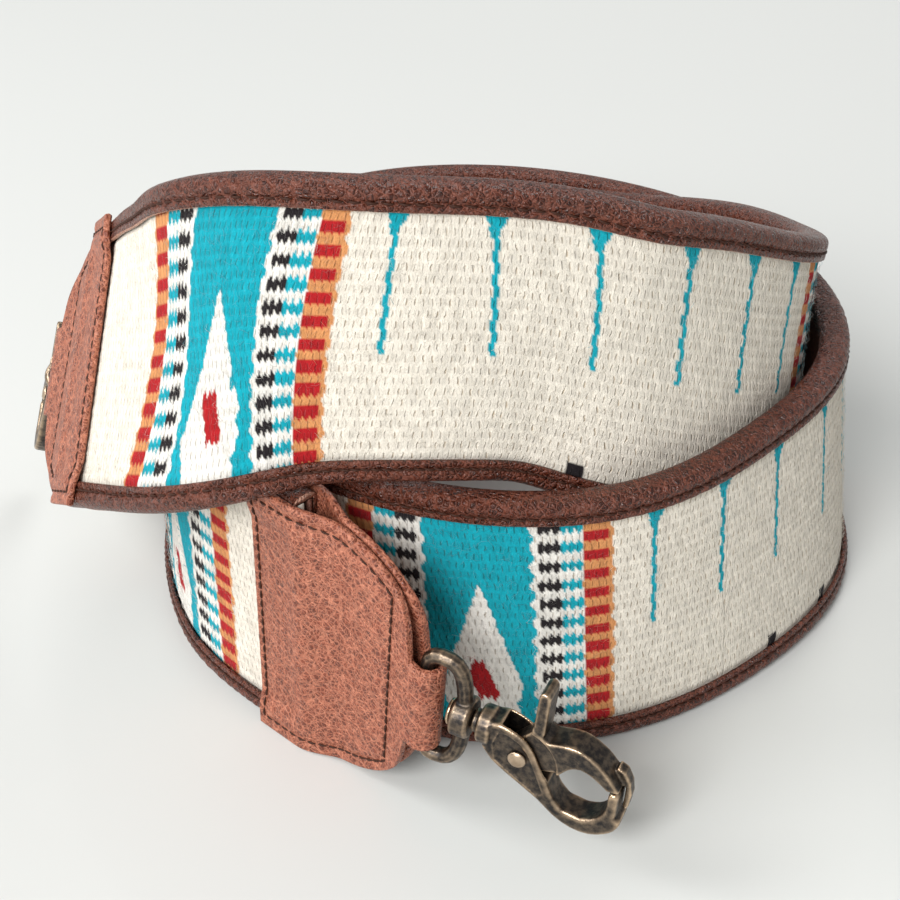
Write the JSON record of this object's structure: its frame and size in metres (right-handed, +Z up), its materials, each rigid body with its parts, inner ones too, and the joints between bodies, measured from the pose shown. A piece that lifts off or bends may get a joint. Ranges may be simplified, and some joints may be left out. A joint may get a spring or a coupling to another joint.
{
  "type": "detachable bag strap",
  "caption": "Woven bag strap with leather edge bindings and folded leather tabs, lying in a coil, with a swivelling trigger snap clasp at each end.",
  "frame": {"origin": "middle of the footprint of the coiled strap, on the surface that it lies on", "axes": "+Z up, +X to the right and +Y away as seen in the picture, so the front clasp points to the right"},
  "size_m": [0.2062, 0.2014, 0.1299],
  "materials": {
    "wool": "weft-faced wool weave, cream with bands of turquoise, red, orange, black and white",
    "felt": "matte felted stiffener",
    "lining_leather": "smooth brown leather",
    "leather": "pebbled chestnut leather, slightly glossy, stitched",
    "antique_brass": "antique brass, dark in the recesses and worn bright on the edges",
    "rivet_brass": "worn bright brass dome",
    "spring_wire": "round spring wire"
  },
  "bodies": {
    "strap": {"woven_band": "wool", "interlining": "felt", "leather_lining": "lining_leather", "upper_edge_binding": "leather", "lower_edge_binding": "leather", "front_leather_tab": "leather", "rear_leather_tab": "leather"},
    "front_ring_body": {"front_ring": "antique_brass"},
    "front_clasp": {"front_clasp_body": "antique_brass", "front_clasp_rivet": "rivet_brass", "front_clasp_spring": "spring_wire"},
    "front_gate": {"front_clasp_gate": "antique_brass"},
    "rear_ring_body": {"rear_ring": "antique_brass"},
    "rear_clasp": {"rear_clasp_body": "antique_brass", "rear_clasp_rivet": "rivet_brass", "rear_clasp_spring": "spring_wire"},
    "rear_gate": {"rear_clasp_gate": "antique_brass"}
  },
  "joints": [
    {"name": "front_ring_swing", "type": "hinge", "parent": "strap", "child": "front_ring_body", "pos_m": [-0.00014, -0.08195, 0.02991], "axis": [0.0672, -0.0634, 0.9957], "range_deg": [-110, 20]},
    {"name": "front_clasp_swivel", "type": "hinge", "parent": "front_ring_body", "child": "front_clasp", "pos_m": [0.00736, -0.08518, 0.0292], "axis": [0.9151, -0.3938, -0.0868], "continuous": true},
    {"name": "front_gate_open", "type": "hinge", "parent": "front_clasp", "child": "front_gate", "pos_m": [0.01865, -0.08991, 0.02452], "axis": [-0.3977, -0.917, -0.0316], "range_deg": [0, 35], "stiffness_Nm_per_rad": 0.01, "springref_deg": -40.11, "deforming": ["front_clasp_spring"]},
    {"name": "rear_ring_swing", "type": "hinge", "parent": "strap", "child": "rear_ring_body", "pos_m": [-0.08709, 0.01823, 0.04537], "axis": [0.1417, 0.6053, 0.7832], "range_deg": [-20, 85]},
    {"name": "rear_clasp_swivel", "type": "hinge", "parent": "rear_ring_body", "child": "rear_clasp", "pos_m": [-0.08931, 0.02466, 0.0408], "axis": [-0.2714, 0.7847, -0.5573], "continuous": true},
    {"name": "rear_gate_open", "type": "hinge", "parent": "rear_clasp", "child": "rear_gate", "pos_m": [-0.09324, 0.03237, 0.03096], "axis": [0.952, 0.1336, -0.2755], "range_deg": [0, 35], "stiffness_Nm_per_rad": 0.01, "springref_deg": -40.11, "deforming": ["rear_clasp_spring"]}
  ]
}
